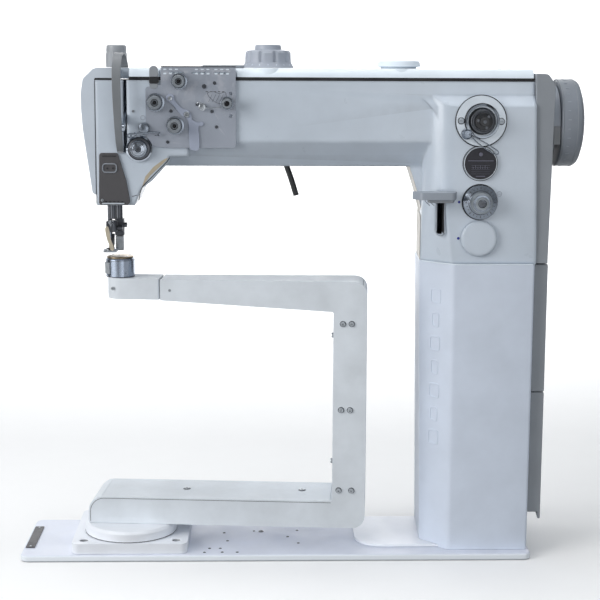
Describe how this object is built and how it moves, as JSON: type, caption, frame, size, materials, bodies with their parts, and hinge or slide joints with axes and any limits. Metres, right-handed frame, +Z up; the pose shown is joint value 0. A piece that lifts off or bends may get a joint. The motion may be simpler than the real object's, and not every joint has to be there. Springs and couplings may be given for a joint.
{
  "type": "post-bed sewing machine",
  "caption": "Industrial post-bed sewing machine with a long arm on a column and a C-shaped lower arm that swivels on a turntable under the needle.",
  "frame": {"origin": "where the needle's axis meets the underside of the base plate", "axes": "+X along the arm from the needle towards the handwheel, +Y to the back, +Z up"},
  "size_m": [0.6265, 0.141, 0.573],
  "materials": {
    "enamel": "pale blue-white hammered enamel",
    "arm_paint": "light grey textured enamel",
    "casting_paint": "light grey gloss enamel",
    "cover_paint": "white gloss enamel",
    "column_paint": "light blue-grey enamel",
    "dark_plastic": "slate grey moulded plastic",
    "grey_plastic": "mid grey moulded plastic",
    "satin_plate": "satin grey sheet",
    "black_plastic": "black",
    "dark_insert": "dark grey-brown moulded plastic",
    "chrome": "polished",
    "steel": "satin",
    "plate_bronze": "worn bronze-brown",
    "belt_rubber": "matt black"
  },
  "bodies": {
    "machine": {"base_plate": "enamel", "type_plate": "dark_insert", "column_foot": "enamel", "turntable_flange": "arm_paint", "column_cover": "column_paint", "column_back_cover": "column_paint", "column_frame": "steel", "arm_casting": "casting_paint", "arm_back_cover": "casting_paint", "top_cover": "cover_paint", "head_cover": "cover_paint", "face_insert": "dark_insert", "side_cover": "dark_plastic", "belt_cover_upper": "dark_plastic", "belt_cover_lower": "dark_plastic", "handwheel_guard": "grey_plastic", "timing_belt": "belt_rubber", "filler_cap": "cover_paint", "tension_plate": "satin_plate", "take_up_guard": "dark_plastic", "winder_plate": "satin_plate", "oil_gauge": "black_plastic", "blank_cap": "cover_paint"},
    "handwheel": {"handwheel": "grey_plastic", "main_shaft": "steel", "drive_pulley": "steel"},
    "lower_pulley": {"lower_pulley": "steel"},
    "needle_bar": {"needle_bar": "chrome", "needle_clamp": "steel", "needle": "chrome"},
    "presser_bar": {"presser_bar": "chrome", "presser_foot": "steel"},
    "walking_foot": {"walking_foot": "chrome"},
    "foot_lift_lever": {"foot_lift_lever": "black_plastic"},
    "take_up_lever": {"take_up_lever": "chrome"},
    "check_spring": {"check_spring": "steel"},
    "release_lever": {"release_lever": "steel"},
    "tension_knob_top": {"tension_knob_top": "chrome"},
    "tension_knob_left": {"tension_knob_left": "chrome"},
    "tension_knob_middle": {"tension_knob_middle": "chrome"},
    "tension_knob_right": {"tension_knob_right": "chrome"},
    "main_tension": {"main_tension": "chrome"},
    "pressure_knob": {"pressure_knob": "steel"},
    "stroke_dial": {"stroke_dial": "grey_plastic"},
    "stitch_dial": {"stitch_dial": "steel"},
    "reverse_lever": {"reverse_lever": "satin_plate"},
    "winder_spindle": {"winder_spindle": "chrome"},
    "winder_lever": {"winder_lever": "steel"},
    "lower_arm": {"turntable_disc": "arm_paint", "lower_arm_frame": "arm_paint", "lower_beam_cover": "arm_paint", "riser_cover": "arm_paint", "end_block": "arm_paint", "hook_post": "chrome", "bobbin_cover": "steel", "needle_plate": "plate_bronze"},
    "hook": {"rotary_hook": "chrome", "hook_shaft": "steel"},
    "cross_shaft": {"cross_shaft": "steel"},
    "riser_shaft": {"riser_shaft": "steel"}
  },
  "joints": [
    {"name": "handwheel_spin", "type": "hinge", "parent": "machine", "child": "handwheel", "pos_m": [0.51, 0.012, 0.4882], "axis": [1, 0, 0], "continuous": true},
    {"name": "lower_pulley_spin", "type": "hinge", "parent": "machine", "child": "lower_pulley", "pos_m": [0.478, 0.012, 0.082], "axis": [1, 0, 0], "continuous": true},
    {"name": "needle_bar_stroke", "type": "slide", "parent": "machine", "child": "needle_bar", "axis": [0, 0, 1], "range_m": [0, 0.036]},
    {"name": "presser_bar_lift", "type": "slide", "parent": "machine", "child": "presser_bar", "axis": [0, 0, 1], "range_m": [0, 0.013]},
    {"name": "walking_foot_lift", "type": "slide", "parent": "presser_bar", "child": "walking_foot", "axis": [0, 0, 1], "range_m": [0, 0.009]},
    {"name": "foot_lift_turn", "type": "hinge", "parent": "machine", "child": "foot_lift_lever", "pos_m": [0.191, 0.067, 0.462], "axis": [0, 1, 0], "range_deg": [0, 40]},
    {"name": "take_up_swing", "type": "hinge", "parent": "machine", "child": "take_up_lever", "pos_m": [0.0213, -0.012, 0.5], "axis": [-1, 0, 0], "range_deg": [0, 60]},
    {"name": "check_spring_pull", "type": "hinge", "parent": "machine", "child": "check_spring", "pos_m": [0.0423, -0.0363, 0.4823], "axis": [0, 1, 0], "range_deg": [0, 8], "stiffness_Nm_per_rad": 0.05, "springref_deg": -5.73},
    {"name": "release_lever_turn", "type": "hinge", "parent": "machine", "child": "release_lever", "pos_m": [0.0884, -0.0345, 0.4979], "axis": [0, -1, 0], "range_deg": [0, 4], "stiffness_Nm_per_rad": 0.2, "springref_deg": -5.73},
    {"name": "tension_top_turn", "type": "hinge", "parent": "machine", "child": "tension_knob_top", "pos_m": [0.0805, -0.04, 0.533], "axis": [0, -1, 0], "range_deg": [-180, 180]},
    {"name": "tension_left_turn", "type": "hinge", "parent": "machine", "child": "tension_knob_left", "pos_m": [0.0548, -0.04, 0.5103], "axis": [0, -1, 0], "range_deg": [-180, 180]},
    {"name": "tension_middle_turn", "type": "hinge", "parent": "machine", "child": "tension_knob_middle", "pos_m": [0.0758, -0.04, 0.4856], "axis": [0, -1, 0], "range_deg": [-180, 180]},
    {"name": "tension_right_turn", "type": "hinge", "parent": "machine", "child": "tension_knob_right", "pos_m": [0.1322, -0.04, 0.5097], "axis": [0, -1, 0], "range_deg": [-180, 180]},
    {"name": "main_tension_turn", "type": "hinge", "parent": "machine", "child": "main_tension", "pos_m": [0.0363, -0.04, 0.4604], "axis": [0, -1, 0], "range_deg": [-180, 180]},
    {"name": "pressure_knob_turn", "type": "hinge", "parent": "machine", "child": "pressure_knob", "pos_m": [0.0089, 0.012, 0.555], "axis": [0, 0, 1], "range_deg": [-180, 180]},
    {"name": "stroke_dial_turn", "type": "hinge", "parent": "machine", "child": "stroke_dial", "pos_m": [0.1765, 0.012, 0.555], "axis": [0, 0, 1], "range_deg": [0, 120]},
    {"name": "stitch_dial_turn", "type": "hinge", "parent": "machine", "child": "stitch_dial", "pos_m": [0.408, -0.05, 0.4037], "axis": [0, -1, 0], "range_deg": [-150, 150]},
    {"name": "reverse_lever_press", "type": "hinge", "parent": "machine", "child": "reverse_lever", "pos_m": [0.364, 0.014, 0.4105], "axis": [1, 0, 0], "range_deg": [0, 16], "stiffness_Nm_per_rad": 1.5, "springref_deg": -8.59},
    {"name": "winder_spin", "type": "hinge", "parent": "machine", "child": "winder_spindle", "pos_m": [0.408, -0.05, 0.4918], "axis": [0, -1, 0], "continuous": true},
    {"name": "winder_lever_turn", "type": "hinge", "parent": "machine", "child": "winder_lever", "pos_m": [0.392, -0.047, 0.478], "axis": [0, 1, 0], "range_deg": [0, 10]},
    {"name": "lower_arm_swivel", "type": "hinge", "parent": "machine", "child": "lower_arm", "pos_m": [0.019, 0, 0.025], "axis": [0, 0, 1], "range_deg": [-90, 90]},
    {"name": "hook_spin", "type": "hinge", "parent": "lower_arm", "child": "hook", "pos_m": [0.01088, 0.00005, 0.32], "axis": [0, 0, 1], "continuous": true},
    {"name": "cross_shaft_spin", "type": "hinge", "parent": "lower_arm", "child": "cross_shaft", "pos_m": [0.11863, -0.00864, 0.303], "axis": [0.9968, -0.0804, 0], "continuous": true},
    {"name": "riser_shaft_spin", "type": "hinge", "parent": "lower_arm", "child": "riser_shaft", "pos_m": [0.26515, -0.02046, 0.15], "axis": [0, 0, 1], "continuous": true}
  ],
  "couplings": [
    {"joint": "lower_pulley_spin", "follows": "handwheel_spin", "ratio": 1},
    {"joint": "hook_spin", "follows": "handwheel_spin", "ratio": 2},
    {"joint": "cross_shaft_spin", "follows": "handwheel_spin", "ratio": 2},
    {"joint": "riser_shaft_spin", "follows": "handwheel_spin", "ratio": -2},
    {"joint": "presser_bar_lift", "follows": "foot_lift_turn", "m_per_rad": 0.0186}
  ]
}
